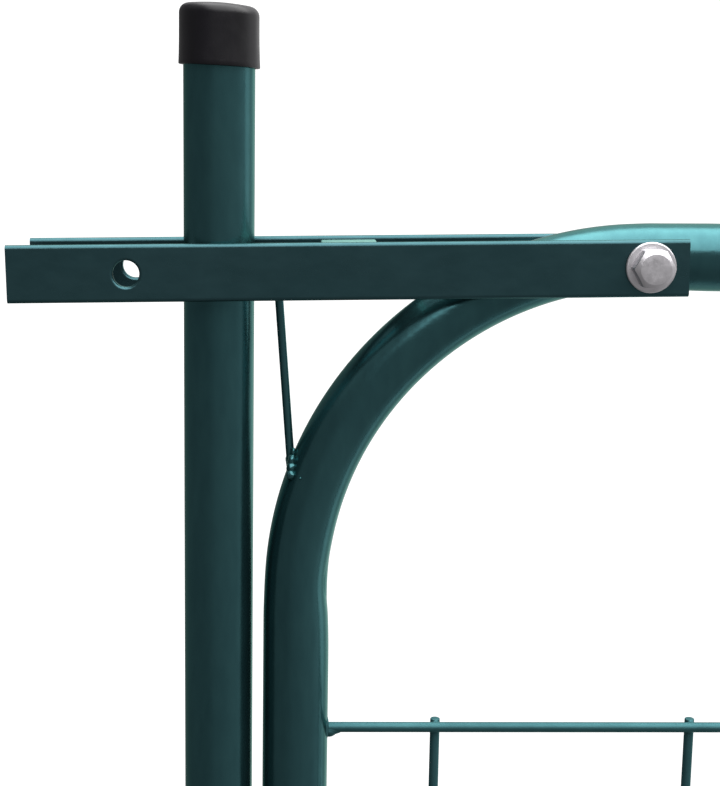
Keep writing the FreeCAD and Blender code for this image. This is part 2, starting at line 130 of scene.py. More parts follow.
def cells(tree, scale, detail=3.0, stretch=(1, 1, 1)):
    """Noise in object space, scale in cells per metre; gives a value around 0.5."""
    place = tree.nodes.new("ShaderNodeTexCoord")
    mapping = tree.nodes.new("ShaderNodeMapping")
    mapping.inputs["Scale"].default_value = stretch
    tree.links.new(place.outputs["Object"], mapping.inputs["Vector"])
    made = tree.nodes.new("ShaderNodeTexNoise")
    made.inputs["Scale"].default_value = scale
    made.inputs["Detail"].default_value = detail
    tree.links.new(mapping.outputs["Vector"], made.inputs["Vector"])
    return made.outputs["Fac"]


def between(tree, source, low, high, start=0.3, end=0.7, smooth=False):
    """Maps source from start-end to low-high."""
    made = tree.nodes.new("ShaderNodeMapRange")
    if smooth:
        made.interpolation_type = "SMOOTHSTEP"
    for key, value in (("From Min", start), ("From Max", end), ("To Min", low), ("To Max", high)):
        made.inputs[key].default_value = value
    tree.links.new(source, made.inputs["Value"])
    return made.outputs["Result"]


def combine(tree, operation, first, second):
    """A math node on two values, each a number or a socket."""
    made = tree.nodes.new("ShaderNodeMath")
    made.operation = operation
    for socket, value in ((0, first), (1, second)):
        if isinstance(value, (int, float)):
            made.inputs[socket].default_value = value
        else:
            tree.links.new(value, made.inputs[socket])
    return made.outputs[0]


def two_tone(tree, shader, source, dark, light):
    """Base colour that runs from dark to light with the source."""
    mix = tree.nodes.new("ShaderNodeMix")
    mix.data_type = "RGBA"
    mix.inputs["A"].default_value = (*dark, 1)
    mix.inputs["B"].default_value = (*light, 1)
    tree.links.new(source, mix.inputs["Factor"])
    tree.links.new(mix.outputs["Result"], shader.inputs["Base Color"])


def relief(tree, shader, source, depth):
    """Bump of the given depth in metres."""
    made = tree.nodes.new("ShaderNodeBump")
    made.inputs["Distance"].default_value = depth
    tree.links.new(source, made.inputs["Height"])
    tree.links.new(made.outputs["Normal"], shader.inputs["Normal"])


def coat_material(name, dark, light, roughness, stretch):
    """Green powder coat with faint clouds drawn out along the piece, and orange peel."""
    made, tree, shader = new_material(name)
    shader.inputs["Metallic"].default_value = COAT_METALLIC
    shader.inputs["Specular Tint"].default_value = (*COAT_EDGE, 1)
    clouds = combine(tree, "ADD", cells(tree, 26, 4, stretch), cells(tree, 160, 2, stretch))
    two_tone(tree, shader, between(tree, clouds, 0, 1, 0.75, 1.25), dark, light)
    rough = between(tree, cells(tree, 70, 4, stretch), roughness - 0.03, roughness + 0.05)
    tree.links.new(rough, shader.inputs["Roughness"])
    waves = combine(tree, "MULTIPLY", cells(tree, 45, 2), 2.0)
    relief(tree, shader, combine(tree, "ADD", cells(tree, 320, 2), waves), COAT_PEEL)
    return made


def pvc_material():
    """Moulded black PVC, slightly uneven, with a soft sheen."""
    made, tree, shader = new_material("black_pvc")
    streaks = cells(tree, 90, 3, (1, 1, 0.12))
    two_tone(tree, shader, between(tree, streaks, 0, 1), PVC, tuple(c * 2.2 for c in PVC))
    rough = between(tree, cells(tree, 110, 4), 0.33, 0.42)
    tree.links.new(rough, shader.inputs["Roughness"])
    shader.inputs["Specular IOR Level"].default_value = PVC_SHEEN
    grain = combine(tree, "MULTIPLY", cells(tree, 420), 0.3)
    waves = combine(tree, "MULTIPLY", cells(tree, 55, 2), 3.0)
    relief(tree, shader, combine(tree, "ADD", grain, waves), PVC_WAVES)
    return made


def zinc_material():
    """Zinc plate with fine grain and faint drawing marks."""
    made, tree, shader = new_material("zinc_plate")
    shader.inputs["Metallic"].default_value = 1.0
    dull = tuple(c * 0.88 for c in ZINC)
    two_tone(tree, shader, between(tree, cells(tree, 240, 4), 0, 1), dull, ZINC)
    rough = between(tree, cells(tree, 420, 4), 0.36, 0.46)
    tree.links.new(rough, shader.inputs["Roughness"])
    relief(tree, shader, combine(tree, "ADD", cells(tree, 900), cells(tree, 300)), ZINC_GRAIN)
    return made


# ---- light, camera, floor ----


def stepped(tree, source, stops):
    """A smooth curve through (position, value) stops, both 0 to 1."""
    made = tree.nodes.new("ShaderNodeValToRGB")
    made.color_ramp.interpolation = "EASE"
    elements = made.color_ramp.elements
    for index, (position, value) in enumerate(stops):
        element = elements[index] if index < 2 else elements.new(position)
        element.position = position
        element.color = (value, value, value, 1)
    tree.links.new(source, made.inputs["Fac"])
    return made.outputs["Color"]


TOP_STRENGTH = 6.7             # of the overhead panel
# Brightness of the overhead panel, from the front horizon over the top to the back horizon.
TOP_STOPS = (
    (0.0, 0.5),
    (1.0, 0.08),
    (0.17, 0.55),
    (0.4, 0.75),
    (0.6, 1.0),
    (0.65, 0.85),
    (0.70, 0.25),
)
# Brightness of the room around the horizon: back, left, front, right, and back again.
ROOM_STOPS = (
    (0.0, 0.6),
    (1.0, 0.6),
    (0.06, 0.22),
    (0.2, 0.22),
    (0.4, 0.21),
    (0.5, 0.32),
    (0.66, 0.42),
    (0.75, 0.65),
    (0.83, 0.6),
    (0.9, 1.15),
)
PANEL_EDGE = (0.40, 0.45)     # sine of the elevation where the overhead panel starts
PANEL_LEFT = (-0.55, -0.2)    # the panel fades out to the left between these
PANEL_LEFT_SHARE = 0.08
SIDE_PANEL = 0.7              # extra light from the right, as a narrow upright panel
SIDE_STOPS = ((0.0, 0.0), (1.0, 0.0), (0.75, 0.0), (0.775, 1.0), (0.81, 1.0), (0.84, 0.0))
UNDERFOOT = (-0.75, -0.3)     # the room dims towards the ground between these sines
UNDERFOOT_SHARE = 0.75
BACKDROP_STRENGTH = 1.2       # what the camera sees behind the gate


def make_world():
    """A white studio: a strong panel overhead, a dim room in front, and light from the right."""
    world = bpy.data.worlds.new("studio")
    bpy.context.scene.world = world
    world.use_nodes = True
    tree = world.node_tree
    tree.nodes.clear()
    out = tree.nodes.new("ShaderNodeOutputWorld")
    place = tree.nodes.new("ShaderNodeTexCoord")
    split = tree.nodes.new("ShaderNodeSeparateXYZ")
    tree.links.new(place.outputs["Generated"], split.inputs[0])
    x, y, z = split.outputs
    forward = combine(tree, "MULTIPLY", y, -1.0)
    over = combine(tree, "ARCTAN2", z, forward)
    over_share = combine(tree, "DIVIDE", over, math.pi)
    around = combine(tree, "ARCTAN2", x, forward)
    around_share = combine(tree, "ADD", combine(tree, "DIVIDE", around, 2 * math.pi), 0.5)
    top = combine(tree, "MULTIPLY", stepped(tree, over_share, TOP_STOPS), TOP_STRENGTH)
    room = stepped(tree, around_share, ROOM_STOPS)
    side = stepped(tree, around_share, SIDE_STOPS)
    room = combine(tree, "ADD", room, combine(tree, "MULTIPLY", side, SIDE_PANEL))
    above = between(tree, z, 0.0, 1.0, *PANEL_EDGE, smooth=True)
    reach = between(tree, x, PANEL_LEFT_SHARE, 1.0, *PANEL_LEFT, smooth=True)
    top_part = combine(tree, "MULTIPLY", combine(tree, "MULTIPLY", top, reach), above)
    room_part = combine(tree, "MULTIPLY", room, combine(tree, "SUBTRACT", 1.0, above))
    low = between(tree, z, UNDERFOOT_SHARE, 1.0, *UNDERFOOT)
    total = combine(tree, "ADD", top_part, combine(tree, "MULTIPLY", room_part, low))
    lights = tree.nodes.new("ShaderNodeBackground")
    tree.links.new(total, lights.inputs["Strength"])
    backdrop = tree.nodes.new("ShaderNodeBackground")
    backdrop.inputs["Strength"].default_value = BACKDROP_STRENGTH
    for node in (lights, backdrop):
        node.inputs["Color"].default_value = (1, 1, 1, 1)
    path = tree.nodes.new("ShaderNodeLightPath")
    mix = tree.nodes.new("ShaderNodeMixShader")
    tree.links.new(path.outputs["Is Camera Ray"], mix.inputs[0])
    tree.links.new(lights.outputs[0], mix.inputs[1])
    tree.links.new(backdrop.outputs[0], mix.inputs[2])
    tree.links.new(mix.outputs[0], out.inputs["Surface"])


FLOOR_RADIUS = 2.0
FLOOR_PLACE = (0.5, 0, cad_low.z - 0.5 * MM)
FLOOR_DARK = (0.30, 0.30, 0.295)
FLOOR_LIGHT = (0.33, 0.33, 0.325)
FLOOR_ROUGHNESS = 0.8


def make_floor():
    """A pale round floor, left out of reflections and bounced light: the room below stays dim."""
    bpy.ops.mesh.primitive_circle_add(
        vertices=96, radius=FLOOR_RADIUS, fill_type="NGON", location=FLOOR_PLACE
    )
    floor = bpy.context.object
    floor.name = "floor"
    made, tree, shader = new_material("pale_floor")
    tone = between(tree, cells(tree, 3, 3), 0, 1)
    two_tone(tree, shader, tone, FLOOR_DARK, FLOOR_LIGHT)
    shader.inputs["Roughness"].default_value = FLOOR_ROUGHNESS
    floor.data.materials.append(made)
    floor.visible_glossy = False
    floor.visible_diffuse = False


CAMERA_RIGHT = 46.2 * MM       # from the latch post's axis
CAMERA_BACK = 906.7 * MM       # from the gate's plane
CAMERA_UP = 77.0 * MM          # above the top rail's axis
CAMERA_PITCH = math.radians(10.02)
CAMERA_YAW = math.radians(2.36)
CAMERA_ROLL = math.radians(0.97)
CAMERA_LENS = 70.99            # in mm, for a sensor of CAMERA_SENSOR
CAMERA_SENSOR = 36


def make_camera():
    """The photograph's viewpoint: in front of the latch post, looking a little down."""
    data = bpy.data.cameras.new("camera")
    data.sensor_width = CAMERA_SENSOR
    data.lens = CAMERA_LENS
    camera = bpy.data.objects.new("camera", data)
    bpy.context.scene.collection.objects.link(camera)
    level_ahead = X_AXIS * math.sin(CAMERA_YAW) + Y_AXIS * math.cos(CAMERA_YAW)
    ahead = level_ahead * math.cos(CAMERA_PITCH) - Z_AXIS * math.sin(CAMERA_PITCH)
    level = X_AXIS * math.cos(CAMERA_YAW) - Y_AXIS * math.sin(CAMERA_YAW)
    lift = level.cross(ahead)
    right = level * math.cos(CAMERA_ROLL) + lift * math.sin(CAMERA_ROLL)
    up = lift * math.cos(CAMERA_ROLL) - level * math.sin(CAMERA_ROLL)
    turn = Matrix((right, up, -ahead)).transposed().to_4x4()
    place = Vector((POST_X + CAMERA_RIGHT, -CAMERA_BACK, RAIL_Z + CAMERA_UP))
    camera.matrix_world = Matrix.Translation(place) @ turn
    bpy.context.scene.camera = camera


# ---- mesh building ----


def piece(name, points, faces, slot, body, nodes=(), angle=40):
    """A mesh object that rides on a body, in a slot's material, standing for CAD nodes."""
    mesh = bpy.data.meshes.new(name)
    mesh.from_pydata(points, [], faces)
    made = bpy.data.objects.new(name, mesh)
    bpy.context.scene.collection.objects.link(made)
    tidy = bmesh.new()
    tidy.from_mesh(mesh)
    bmesh.ops.remove_doubles(tidy, verts=tidy.verts, dist=1e-6)
    bmesh.ops.recalc_face_normals(tidy, faces=tidy.faces)
    tidy.to_mesh(mesh)
    tidy.free()
    mesh.polygons.foreach_set("use_smooth", [True] * len(mesh.polygons))
    mesh.set_sharp_from_angle(angle=math.radians(angle))
    mesh.materials.append(SLOT_MATERIAL[slot])
    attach(made, body)
    if nodes:
        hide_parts(*nodes)
    return made


def join(parts):
    """Puts several (points, faces) together as one."""
    points, faces = [], []
    for part_points, part_faces in parts:
        base = len(points)
        points += part_points
        faces += [tuple(base + corner for corner in face) for face in part_faces]
    return points, faces


def frames(path, closed=False):
    """A place, side and lift direction for each point of a path, without twist."""
    count = len(path)
    tangents = []
    for k in range(count):
        before = path[k - 1] if closed or k > 0 else path[k]
        after = path[(k + 1) % count] if closed or k < count - 1 else path[k]
        tangents.append((after - before).normalized())
    side = Y_AXIS if abs(tangents[0].y) < 0.9 else X_AXIS
    made = []
    for point, tangent in zip(path, tangents):
        side = (side - tangent * side.dot(tangent)).normalized()
        made.append((point, side, tangent.cross(side)))
    return made


def ring_points(place, radius, around):
    """Points round a path; radius is a number or a function of the angle."""
    point, side, lift = place
    made = []
    for k in range(around):
        turn = 2 * math.pi * k / around
        reach = radius(turn) if callable(radius) else radius
        made.append(point + (side * math.cos(turn) + lift * math.sin(turn)) * reach)
    return made


def skin(rings, around, closed=False):
    """Faces between rings of points; open ends are capped."""
    points = [p for ring in rings for p in ring]
    faces = []
    count = len(rings)
    for k in range(count if closed else count - 1):
        here, there = k * around, ((k + 1) % count) * around
        for j in range(around):
            nxt = (j + 1) % around
            faces.append((here + j, here + nxt, there + nxt, there + j))
    if not closed:
        faces.append(tuple(range(around)))
        faces.append(tuple(range((count - 1) * around, count * around)))
    return points, faces


def solid_rod(path, radius, around=32, edge=0.0):
    """A round rod along a path, with rounded ends of radius edge."""
    spots = frames(path)
    rings = [ring_points(spot, radius, around) for spot in spots]
    if edge:
        for end, spot in ((0, spots[0]), (-1, spots[-1])):
            beside = path[1] if end == 0 else path[-2]
            inward = (beside - path[end]).normalized()
            rounds = []
            for share in (0.0, 0.35, 0.7, 1.0):
                turn = share * math.pi / 2
                moved = (spot[0] + inward * edge * (1 - math.sin(turn)), spot[1], spot[2])
                rounds.append(ring_points(moved, radius - edge * (1 - math.cos(turn)), around))
            if end == 0:
                rings = rounds[::-1] + rings[1:]
            else:
                rings = rings[:-1] + rounds
    return skin(rings, around)


def shell(path, outer, inner, around=96):
    """A round tube along a path; outer may be a function of (place on the path, angle)."""
    spots = frames(path)
    outside = []
    for k, spot in enumerate(spots):
        reach = (lambda turn, k=k: outer(k, turn)) if callable(outer) else outer
        outside.append(ring_points(spot, reach, around))
    inside = [ring_points(spot, inner, around) for spot in reversed(spots)]
    return skin(outside + inside, around, closed=True)


def arc(centre, radius, start, end, steps):
    """Points on an arc in the gate's plane; angles in degrees from +X towards +Z."""
    made = []
    for k in range(steps + 1):
        turn = math.radians(start + (end - start) * k / steps)
        made.append(centre + Vector((math.cos(turn), 0, math.sin(turn))) * radius)
    return made


def line(start, end, steps):
    """Points on a straight line, both ends included."""
    return [start.lerp(end, k / steps) for k in range(steps + 1)]


def lathe(outline, place, axis, around=96, closed=False):
    """A turned body: outline is (height, radius) pairs from one end to the other, or all round.

    A run along the axis, where the outline's radius is 0 twice in a row, leaves no faces.
    """
    side = Y_AXIS if abs(axis.y) < 0.9 else X_AXIS
    side = (side - axis * side.dot(axis)).normalized()
    lift = axis.cross(side)
    rings = []
    for height, radius in outline:
        rings.append(ring_points((place + axis * height, side, lift), radius, around))
    points, faces = skin(rings, around, closed)
    radii = [radius for height, radius in outline]
    on_axis = {k for k, pair in enumerate(zip(radii, radii[1:])) if pair == (0.0, 0.0)}
    return points, [face for index, face in enumerate(faces) if index // around not in on_axis]


BEAD_RIPPLE = 2.4 * MM


def bead(path, radius, seed, closed=False, around=12):
    """A lumpy weld bead with overlapping scallops, fading out at open ends."""
    spots = frames(path, closed)
    rings = []
    travelled = 0.0
    total = sum((b - a).length for a, b in zip(path, path[1:]))
    for k, spot in enumerate(spots):
        if k:
            travelled += (path[k] - path[k - 1]).length
        scallop = 0.86 + 0.2 * abs(math.sin(math.pi * travelled / BEAD_RIPPLE))
        waver = 1 + 0.16 * noise.noise(spot[0] * 160 + Vector((seed, 0, 0)))
        ends = 1.0
        if not closed:
            near_end = min(travelled, total - travelled) / (1.4 * radius)
            ends = math.sqrt(max(0.02, min(1.0, near_end) * (2 - min(1.0, near_end))))
        rings.append(ring_points(spot, radius * scallop * waver * ends, around))
    return skin(rings, around, closed)


def blob(place, reach, seed, roughness=0.16, subdivisions=3):
    """A lump of weld: an uneven ellipsoid with the given half sizes."""
    ball = bmesh.new()
    bmesh.ops.create_icosphere(ball, subdivisions=subdivisions, radius=1.0)
    points = []
    for vert in ball.verts:
        swell = 1 + roughness * noise.noise(vert.co * 1.7 + Vector((seed * 3.1, 0, 0)))
        swell += 0.4 * roughness * noise.noise(vert.co * 4.3 + Vector((0, seed * 1.7, 0)))
        points.append(place + Vector(c * r for c, r in zip(vert.co, reach)) * swell)
    faces = [tuple(v.index for v in face.verts) for face in ball.faces]
    ball.free()
    return points, faces


# ---- posts and caps ----


POST_UNDER_CAP = 2.6 * MM      # the tube stops short of the askew cap's top


def make_post(name, x, node):
    """A post's tube, from its base plate to just under its cap's top."""
    low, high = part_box(node)
    path = line(Vector((x, 0, low.z)), Vector((x, 0, high.z - POST_UNDER_CAP)), 24)
    piece(name, *shell(path, POST_R, POST_R - POST_WALL), "green_coat", "posts", [node])


CAP_FIT = 0.02 * MM            # between the post and the cap's bore
CAP_SHOULDER_R = 5.5 * MM
CAP_CROWN = 1.2 * MM           # the top's rise from the shoulder to the middle
CAP_LIP_R = 0.6 * MM
CAP_TAPER = 0.5 * MM           # the skirt narrows towards the top
CAP_SAG = 0.15 * MM            # the skirt's sides draw in a little between its ends
CAP_TOP_THICK = 3 * MM
CAP_WAVE = 0.12 * MM           # unevenness of the outside
CAP_HEM_WAVE = 0.35 * MM       # the lower edge rises and falls by this
CAP_HEM_HEIGHT = 6 * MM        # and the wave dies out over this height


def make_cap(name, x, node, slope):
    """A push-on cap: its top and its lower edge run askew by slope degrees."""
    low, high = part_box(node)
    full_r = (high.x - low.x) / 2
    askew = math.tan(math.radians(slope))
    height = high.z - low.z - full_r * abs(askew)
    bore_r = POST_R + CAP_FIT
    outline = [
        (CAP_LIP_R, bore_r),
        (0.0, bore_r + CAP_LIP_R),
        (0.0, full_r - CAP_LIP_R),
        (CAP_LIP_R * 0.3, full_r - CAP_LIP_R * 0.3),
        (CAP_LIP_R, full_r),
    ]
    shoulder_height = height - CAP_CROWN - CAP_SHOULDER_R
    for share in (0.1, 0.25, 0.5, 0.75, 0.9):
        sag = CAP_SAG * math.sin(math.pi * share)
        outline.append((shoulder_height * share, full_r - CAP_TAPER * share - sag))
    corner_r = full_r - CAP_TAPER
    for k in range(9):
        turn = math.pi / 2 * k / 8
        rise = shoulder_height + CAP_SHOULDER_R * math.sin(turn)
        outline.append((rise, corner_r - CAP_SHOULDER_R * (1 - math.cos(turn))))
    dome_r = corner_r - CAP_SHOULDER_R
    for share in (0.8, 0.55, 0.3, 0.1, 0.0):
        outline.append((height - CAP_CROWN * share**2, dome_r * share))
    # The underside of the top and the bore close the moulding.
    under = height - CAP_TOP_THICK
    outline += [(under, 0.0), (under, bore_r)]
    points, faces = lathe(outline, Vector(), Z_AXIS, 128, closed=True)
    foot = Vector((x, 0, low.z))
    placed = []
    for point in points:
        flat = Vector((point.x, point.y, 0))
        pushed = point
        if flat.length > bore_r * 1.02:
            wave = CAP_WAVE * noise.noise(point * 60 + Vector((x * 7, 2, 0)))
            pushed = point + flat.normalized() * wave
        dip = CAP_HEM_WAVE * noise.noise(flat * 45 + Vector((x * 3, 0, 5)))
        dip *= max(0.0, 1 - point.z / CAP_HEM_HEIGHT)
        lift = dip - askew * point.x + full_r * abs(askew) * 0.3
        placed.append(foot + pushed + Z_AXIS * lift)
    highest = max(p.z for p in placed)
    shift = Z_AXIS * min(0.0, high.z - highest)
    moved = [point + shift for point in placed]
    piece(name, moved, faces, "black_plastic", "posts", [node], angle=35)


# ---- leaf ----


FINE_RUN = 100 * MM            # closer rings over this length below each bend


def hoop_path():
    """The hoop's middle line: up the latch stile, along the top rail, down the hinge stile."""
    foot = HOOP_LOW.z
    left = Vector((LEFT_STILE_X + BEND_R, 0, BEND_Z))
    right = Vector((RIGHT_STILE_X - BEND_R, 0, BEND_Z))
    path = line(Vector((LEFT_STILE_X, 0, foot)), Vector((LEFT_STILE_X, 0, BEND_Z - FINE_RUN)), 12)
    path += line(path[-1], Vector((LEFT_STILE_X, 0, BEND_Z)), 40)[1:]
    path += arc(left, BEND_R, 180, 90, 120)[1:]
    path += line(path[-1], Vector((right.x, 0, RAIL_Z)), 16)[1:]
    path += arc(right, BEND_R, 90, 0, 120)[1:]
    path += line(path[-1], Vector((RIGHT_STILE_X, 0, BEND_Z - FINE_RUN)), 40)[1:]
    path += line(path[-1], Vector((RIGHT_STILE_X, 0, foot)), 12)[1:]
    return path


PINCH_DEPTH = 1.1 * MM         # flat left by the bending tool inside each bend's start
PINCH_LENGTH = 22 * MM
INNER_FLAT = 1.2 * MM          # the bends' section is a little oval
OUTER_FLAT = 0.6 * MM
OVAL_RUN = 30 * MM             # the section turns oval over this length
OVAL_LEAD = 0.6                # share of it that lies before the bend


def make_hoop():
    """The bent tube: round where straight, slightly oval in the bends, pinched at their starts."""
    path = hoop_path()
    spots = frames(path)
    left, right = LEFT_STILE_X + BEND_R, RIGHT_STILE_X - BEND_R
    middle_x = (left + right) / 2

    def outer(k, turn):
        point, side, lift = spots[k]
        corner = Vector((left if point.x < middle_x else right, 0, BEND_Z))
        inside_bend = min(point.z - BEND_Z, abs(point.x - middle_x) - (right - left) / 2)
        share = min(1.0, max(0.0, inside_bend / OVAL_RUN + OVAL_LEAD))
        share = share * share * (3 - 2 * share)
        direction = side * math.cos(turn) + lift * math.sin(turn)
        to_corner = corner - point
        if point.z < BEND_Z:
            to_corner = X_AXIS * (1 if point.x < middle_x else -1)
        inward = direction.dot(to_corner.normalized())
        flat = INNER_FLAT * max(0.0, inward) ** 2 + OUTER_FLAT * max(0.0, -inward) ** 2
        pinch = math.exp(-(((point.z - BEND_Z) / PINCH_LENGTH) ** 2)) * max(0.0, inward) ** 3
        return TUBE_R - share * flat - PINCH_DEPTH * pinch

    tube = shell(path, outer, TUBE_R - TUBE_WALL)
    piece("arch_hoop_tube", *tube, "green_coat", "leaf", ["arch_hoop"])


SADDLE_REACH = 0.999           # keeps the line off the stile's widest points


def saddle(side, steps=72):
    """The closed line where the bottom rail meets a stile; side is 1 at the left stile."""
    stile_x = LEFT_STILE_X if side > 0 else RIGHT_STILE_X
    made = []
    for k in range(steps):
        turn = 2 * math.pi * k / steps
        y = TUBE_R * math.cos(turn) * SADDLE_REACH
        away = math.sqrt(max(0.0, TUBE_R**2 - y * y))
        made.append(Vector((stile_x + side * away, y, BOTTOM_RAIL_Z + TUBE_R * math.sin(turn))))
    return made


RAIL_START = TUBE_R * 0.3      # the rail's ends run into the stiles
RAIL_BEAD_R = 2.4 * MM


def make_bottom_rail():
    """The bottom rail's tube, and the weld beads where it meets the stiles."""
    path = line(
        Vector((LEFT_STILE_X + RAIL_START, 0, BOTTOM_RAIL_Z)),
        Vector((RIGHT_STILE_X - RAIL_START, 0, BOTTOM_RAIL_Z)),
        12,
    )
    tube = shell(path, TUBE_R, TUBE_R - TUBE_WALL)
    piece("bottom_rail_tube", *tube, "green_coat", "leaf", ["bottom_rail"])
    welds = []
    for seed, side in ((1, 1), (2, -1)):
        welds.append(bead(saddle(side), RAIL_BEAD_R, seed, closed=True))
    piece("bottom_rail_welds", *join(welds), "green_coat", "leaf")


# The mesh's wires: rows from the top down, uprights from the latch side.
ROWS = sorted(
    (node for node in frame["nodes"] if node.startswith("mesh_row_wire")),
    key=lambda node: -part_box(node)[0].z,
)
UPRIGHTS = sorted(
    (node for node in frame["nodes"] if node.startswith("mesh_upright_wire")),
    key=lambda node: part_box(node)[0].x,
)


def wire_middle(node):
    """A wire's middle and its half sizes."""
    low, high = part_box(node)
    return (low + high) / 2, (high - low) / 2


WIRE_SUNK = 1 * MM             # a row's ends run into the stiles
FOOT_SUNK = 0.5 * MM           # an upright's foot runs into the bottom rail
CUT_EDGE_R = 0.5 * MM          # rounding of a cut end


def make_mesh_wires():
    """The rows in front and the uprights behind them, each a plain rod."""
    for index, node in enumerate(ROWS):
        middle, half = wire_middle(node)
        start = Vector((LEFT_STILE_X + TUBE_R - WIRE_SUNK, middle.y, middle.z))
        end = Vector((RIGHT_STILE_X - TUBE_R + WIRE_SUNK, middle.y, middle.z))
        name = f"row_wire_{index + 1}_drawn"
        piece(name, *solid_rod(line(start, end, 40), half.z, 40), "wire_coat", "leaf", [node])
    for index, node in enumerate(UPRIGHTS):
        middle, half = wire_middle(node)
        foot = Vector((middle.x, middle.y, middle.z - half.z - FOOT_SUNK))
        path = line(foot, Vector((middle.x, middle.y, middle.z + half.z)), 40)
        name = f"upright_wire_{index + 1}_drawn"
        piece(name, *solid_rod(path, half.x, 32, CUT_EDGE_R), "wire_coat", "leaf", [node])


# Half sizes of the lumps of weld on the wires.
ROW_TOE = (9.8 * MM, 3.3 * MM, 3.2 * MM)
ROW_THROAT = (5.6 * MM, 3.6 * MM, 3.6 * MM)
ROW_PATCH = (1.7 * MM, 5.2 * MM, 8.5 * MM)
CROSSING = (2.9 * MM, 1.0 * MM, 3.2 * MM)
UPRIGHT_FOOT = (4.3 * MM, 4.0 * MM, 1.7 * MM)


def make_wire_welds():
    """Coated-over welds: at both ends of each row, where wires cross, and at the uprights' feet."""
    ends = ((1, "latch_side", LEFT_STILE_X), (-1, "hinge_side", RIGHT_STILE_X))
    for side, label, stile_x in ends:
        lumps = []
        for index, node in enumerate(ROWS):
            middle = wire_middle(node)[0]
            face_x = stile_x + side * TUBE_R
            seed = index + 10 * side
            toe = Vector((face_x + side * 0.5 * MM, 0, middle.z - 1.4 * MM))
            lumps.append(blob(toe, ROW_TOE, seed, 0.1))
            lumps.append(blob(toe - Z_AXIS * 1.0 * MM, ROW_THROAT, seed + 1, 0.1))
            patch = Vector((face_x - side * 0.9 * MM, -1 * MM, middle.z + 0.5 * MM))
            lumps.append(blob(patch, ROW_PATCH, seed + 3, 0.1))
        piece(f"row_end_welds_{label}", *join(lumps), "wire_coat", "leaf")
    lumps = []
    for row_index, row in enumerate(ROWS):
        row_middle, row_half = wire_middle(row)
        for index, upright in enumerate(UPRIGHTS):
            middle = wire_middle(upright)[0]
            contact = Vector((middle.x, row_middle.y + row_half.z, row_middle.z))
            seed = row_index * 7 + index
            lumps.append(blob(contact, CROSSING, seed, 0.12, 2))
    piece("crossing_welds", *join(lumps), "wire_coat", "leaf")
    lumps = []
    for index, upright in enumerate(UPRIGHTS):
        middle, half = wire_middle(upright)
        foot = Vector((middle.x, middle.y, middle.z - half.z + 0.6 * MM))
        lumps.append(blob(foot, UPRIGHT_FOOT, index))
    piece("upright_foot_welds", *join(lumps), "wire_coat", "leaf")


ROD_FOOT_ANGLE = 18.6          # degrees along the bend from its start on the stile
ROD_LEAN = 4.45                # degrees from upright
ROD_ELBOW_R = 9 * MM
# Lumps of the weld at its foot: degrees along the bend and round the tube, half sizes in mm.
ROD_WELD = (
    (21.4, 20, (2.8, 3.6, 4.0)),
    (22.5, 10, (1.7, 2.4, 2.8)),
    (20.5, 27, (3.0, 3.4, 3.4)),
    (19.5, 34, (3.1, 3.0, 3.3)),
    (20.6, -15, (2.4, 3.6, 5.0)),
    (19.8, 56, (0.8, 0.8, 0.8)),
)


def make_rest_rod():
    """The rod from the bend up between the bars, its elbow, and the weld at its foot."""
    radius = (ROD_HIGH.y - ROD_LOW.y) / 2
    angle = math.radians(ROD_FOOT_ANGLE)
    lean = math.radians(ROD_LEAN)
    centre = Vector((LEFT_STILE_X + BEND_R, 0, BEND_Z))
    outward = Vector((-math.cos(angle), 0, math.sin(angle)))
    foot = centre + outward * (BEND_R + TUBE_R - 2 * radius)
    up = Vector((-math.sin(lean), 0, math.cos(lean)))
    tilt = math.radians(LATCH_TILT)
    back = Vector((-math.cos(tilt), 0, -math.sin(tilt)))
    tip = Vector((ROD_HIGH.x, 0, ROD_HIGH.z - radius))
    cross = up.x * back.z - up.z * back.x
    climb = ((tip.x - foot.x) * back.z - (tip.z - foot.z) * back.x) / cross
    corner = foot + up * climb
    trim = ROD_ELBOW_R / math.tan(math.acos(-up.dot(back)) / 2)
    below, beside = corner - up * trim, corner - back * trim
    path = line(foot, below, 20)
    for k in range(1, 13):
        share = k / 12
        rise = below.lerp(corner, share)
        path.append(rise.lerp(corner.lerp(beside, share), share))
    path += line(beside, tip, 10)[1:]
    rod = solid_rod(path, radius, 32, CUT_EDGE_R)
    piece("rest_rod_bent", *rod, "green_coat", "leaf", ["latch_rest_rod"])
    lumps = []
    for seed, (along, round_tube, reach) in enumerate(ROD_WELD):
        along, round_tube = math.radians(along), math.radians(round_tube)
        away = Vector((-math.cos(along), 0, math.sin(along)))
        spot = centre + away * (BEND_R + TUBE_R * math.cos(round_tube))
        spot -= Y_AXIS * TUBE_R * math.sin(round_tube)
        lumps.append(blob(spot, tuple(half * MM for half in reach), seed + 3, 0.17))
    piece("rest_rod_weld", *join(lumps), "green_coat", "leaf")


# ---- threads, nuts and the bolt ----


THREAD_DEPTH = 0.61            # share of the pitch
THREAD_SLOPE = 1.6             # steepness of the flanks
THREAD_CREST = 0.15            # flatness of the crests


def thread_outline(length, radius, pitch):
    """Rings of a screw thread: radius falls and rises with height and angle, as one helix."""
    steps = max(2, int(round(length / pitch * 8)))
    outline = []
    for k in range(steps + 1):
        height = length * k / steps

        def reach(turn, height=height):
            phase = (height / pitch - turn / (2 * math.pi)) % 1.0
            wave = min(1.0, max(0.0, THREAD_SLOPE * abs(2 * phase - 1) - THREAD_CREST))
            return radius - THREAD_DEPTH * pitch * wave

        outline.append((height, reach))
    return outline


CORNER_SHARE = 0.985           # a hexagon's corners stop at this share of their sharp reach
CORNER_SLOPE = math.tan(math.radians(30))
HEX_SOFT = 0.25 * MM           # softness of the turned corners' edges
NUT_CHAMFER = 0.6 * MM


